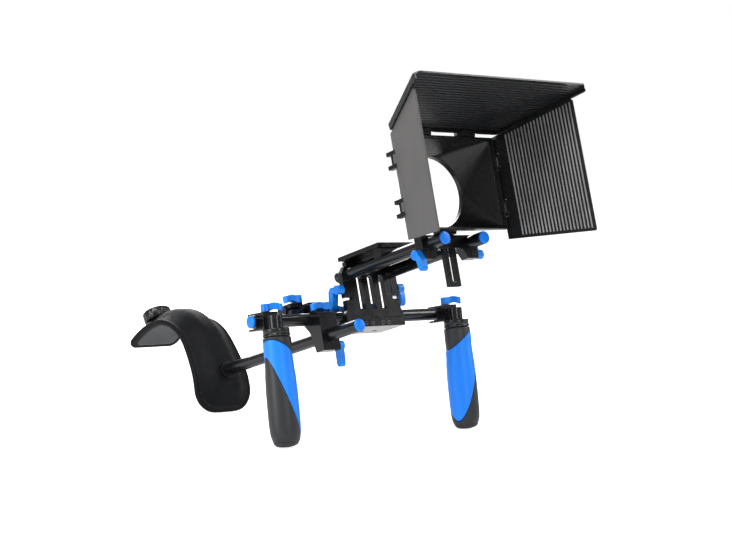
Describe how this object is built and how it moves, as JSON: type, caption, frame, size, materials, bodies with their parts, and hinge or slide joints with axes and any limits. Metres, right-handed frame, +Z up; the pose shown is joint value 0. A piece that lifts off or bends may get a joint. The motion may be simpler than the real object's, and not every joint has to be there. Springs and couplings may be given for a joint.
{
  "type": "cinema camera rig",
  "caption": "Shoulder-mounted camera support with rails, a raised bracket, a shade box with hinged flaps, front grips and a shoulder pad.",
  "frame": {"origin": "centre of the footprint box, on the floor that the grips and the pad stand on", "axes": "+X to the right seen from the lens side, +Y towards the shoulder pad, +Z up; the rig stands nose-up, so its rails rise towards -Y"},
  "size_m": [0.314, 0.612, 0.4214],
  "materials": {
    "anodised_black": "satin black anodised",
    "anodised_blue": "bright blue anodised",
    "black_plastic": "fine matte moulding",
    "steel": "satin",
    "mat_rubber": "matte",
    "black_rubber": "matte",
    "blue_rubber": "matte",
    "blue_plastic": "smooth",
    "neoprene": "soft matte",
    "lining_fabric": "soft matte"
  },
  "bodies": {
    "chassis": {"riser_bracket": "anodised_black", "riser_screws": "steel", "rail_left": "anodised_black", "rail_right": "anodised_black", "rail_caps": "blue_plastic", "plate_base": "anodised_black", "cross_rod": "anodised_black", "cross_rod_caps": "blue_plastic"},
    "riser_lever_left": {"riser_lever_left": "anodised_blue"},
    "riser_lever_right": {"riser_lever_right": "anodised_blue"},
    "rod_lock_lever_left": {"rod_lock_lever_left": "anodised_blue"},
    "rod_lock_lever_right": {"rod_lock_lever_right": "anodised_blue"},
    "camera_slide": {"camera_plate": "anodised_black", "plate_mat": "mat_rubber"},
    "camera_screw": {"camera_screw": "steel"},
    "matte_carriage": {"matte_clamp": "anodised_black", "post_bolt": "steel"},
    "matte_lever_left": {"matte_lever_left": "anodised_blue", "matte_stud_left": "steel"},
    "matte_lever_right": {"matte_lever_right": "anodised_blue", "matte_stud_right": "steel"},
    "matte_box": {"matte_post": "anodised_black", "matte_frame": "black_plastic", "lens_ring": "black_plastic", "hinge_brackets": "black_plastic", "hinge_pins": "steel"},
    "top_flap": {"top_flap": "black_plastic"},
    "left_flap": {"left_flap": "black_plastic"},
    "right_flap": {"right_flap": "black_plastic"},
    "left_handle": {"left_clamp": "anodised_black", "left_grip_core": "black_plastic", "left_grip": "black_rubber", "left_grip_inlay": "blue_rubber", "left_grip_end": "black_rubber"},
    "left_handle_lever": {"left_clamp_lever": "anodised_blue", "left_clamp_stud": "steel"},
    "right_handle": {"right_clamp": "anodised_black", "right_grip_core": "black_plastic", "right_grip": "black_rubber", "right_grip_inlay": "blue_rubber", "right_grip_end": "black_rubber"},
    "right_handle_lever": {"right_clamp_lever": "anodised_blue", "right_clamp_stud": "steel"},
    "offset_arm": {"offset_clamp": "anodised_black", "accessory_rod": "anodised_black"},
    "offset_top_lever": {"offset_top_lever": "anodised_blue", "offset_top_stud": "steel"},
    "offset_side_lever": {"offset_side_lever": "anodised_blue", "offset_side_stud": "steel"},
    "accessory": {"accessory_clamp": "anodised_black"},
    "accessory_lever": {"accessory_lever": "anodised_blue"},
    "shoulder": {"shoulder_rod": "anodised_black", "shoulder_rod_cap": "blue_plastic", "pad_socket": "anodised_black", "pad_plate": "steel", "pad_cushion": "neoprene", "pad_lining": "lining_fabric", "pad_knob": "black_plastic"}
  },
  "joints": [
    {"name": "riser_lever_left_turn", "type": "hinge", "parent": "chassis", "child": "riser_lever_left", "pos_m": [-0.02092, -0.05513, 0.16992], "axis": [1, 0, 0], "range_deg": [-15, 25]},
    {"name": "riser_lever_right_turn", "type": "hinge", "parent": "chassis", "child": "riser_lever_right", "pos_m": [0.06308, -0.05513, 0.16992], "axis": [1, 0, 0], "range_deg": [-25, 60]},
    {"name": "rod_lock_left_turn", "type": "hinge", "parent": "chassis", "child": "rod_lock_lever_left", "pos_m": [-0.00292, -0.03116, 0.13726], "axis": [0, 0.3134, 0.9496], "range_deg": [-25, 12]},
    {"name": "rod_lock_right_turn", "type": "hinge", "parent": "chassis", "child": "rod_lock_lever_right", "pos_m": [0.04908, -0.03116, 0.13726], "axis": [0, 0.3134, 0.9496], "range_deg": [-25, 40]},
    {"name": "camera_plate_slide", "type": "slide", "parent": "chassis", "child": "camera_slide", "axis": [0, 0.9496, -0.3134], "range_m": [-0.01, 0]},
    {"name": "camera_screw_turn", "type": "hinge", "parent": "camera_slide", "child": "camera_screw", "pos_m": [0.02108, -0.08135, 0.2149], "axis": [0, 0.3134, 0.9496], "continuous": true},
    {"name": "matte_carriage_slide", "type": "slide", "parent": "chassis", "child": "matte_carriage", "axis": [0, 0.9496, -0.3134], "range_m": [-0.014, 0.03]},
    {"name": "matte_lever_left_turn", "type": "hinge", "parent": "matte_carriage", "child": "matte_lever_left", "pos_m": [-0.02092, -0.19088, 0.22126], "axis": [1, 0, 0], "range_deg": [-60, 25]},
    {"name": "matte_lever_right_turn", "type": "hinge", "parent": "matte_carriage", "child": "matte_lever_right", "pos_m": [0.06308, -0.19088, 0.22126], "axis": [1, 0, 0], "range_deg": [-60, 60]},
    {"name": "matte_height_slide", "type": "slide", "parent": "matte_carriage", "child": "matte_box", "axis": [0, 0.3134, 0.9496], "range_m": [0, 0.03]},
    {"name": "top_flap_turn", "type": "hinge", "parent": "matte_box", "child": "top_flap", "pos_m": [0.02108, -0.1731, 0.35808], "axis": [1, 0, 0], "range_deg": [-50, 0]},
    {"name": "left_flap_turn", "type": "hinge", "parent": "matte_box", "child": "left_flap", "pos_m": [-0.05592, -0.19228, 0.29996], "axis": [0, 0.3134, 0.9496], "range_deg": [0, 40]},
    {"name": "right_flap_turn", "type": "hinge", "parent": "matte_box", "child": "right_flap", "pos_m": [0.09808, -0.19228, 0.29996], "axis": [0, 0.3134, 0.9496], "range_deg": [-40, 0]},
    {"name": "left_handle_swing", "type": "hinge", "parent": "chassis", "child": "left_handle", "pos_m": [-0.13642, -0.05772, 0.13655], "axis": [1, 0, 0], "range_deg": [-50, 50]},
    {"name": "left_handle_lever_turn", "type": "hinge", "parent": "left_handle", "child": "left_handle_lever", "pos_m": [-0.13642, -0.06165, 0.14764], "axis": [0, 0.2125, 0.9772], "range_deg": [-60, 60]},
    {"name": "right_handle_swing", "type": "hinge", "parent": "chassis", "child": "right_handle", "pos_m": [0.13958, -0.05772, 0.13655], "axis": [1, 0, 0], "range_deg": [-50, 50]},
    {"name": "right_handle_lever_turn", "type": "hinge", "parent": "right_handle", "child": "right_handle_lever", "pos_m": [0.13958, -0.06165, 0.14764], "axis": [0, 0.2125, 0.9772], "range_deg": [-60, 60]},
    {"name": "offset_arm_tilt", "type": "hinge", "parent": "chassis", "child": "offset_arm", "pos_m": [-0.05742, -0.05772, 0.13655], "axis": [1, 0, 0], "range_deg": [-15, 15]},
    {"name": "offset_top_lever_turn", "type": "hinge", "parent": "offset_arm", "child": "offset_top_lever", "pos_m": [-0.04842, -0.06088, 0.14675], "axis": [0, 0.3134, 0.9496], "range_deg": [-35, 60]},
    {"name": "offset_side_lever_turn", "type": "hinge", "parent": "offset_arm", "child": "offset_side_lever", "pos_m": [-0.04492, -0.07787, 0.1074], "axis": [1, 0, 0], "range_deg": [-45, 60]},
    {"name": "accessory_swing", "type": "hinge", "parent": "offset_arm", "child": "accessory", "pos_m": [-0.07942, -0.03292, 0.14469], "axis": [1, 0, 0], "range_deg": [-8, 30]},
    {"name": "accessory_lever_turn", "type": "hinge", "parent": "accessory", "child": "accessory_lever", "pos_m": [-0.07392, -0.03943, 0.15368], "axis": [0, 0.3134, 0.9496], "range_deg": [-40, 40]},
    {"name": "shoulder_slide", "type": "slide", "parent": "offset_arm", "child": "shoulder", "axis": [0, 0.9496, -0.3134], "range_m": [-0.1, 0.04]}
  ]
}
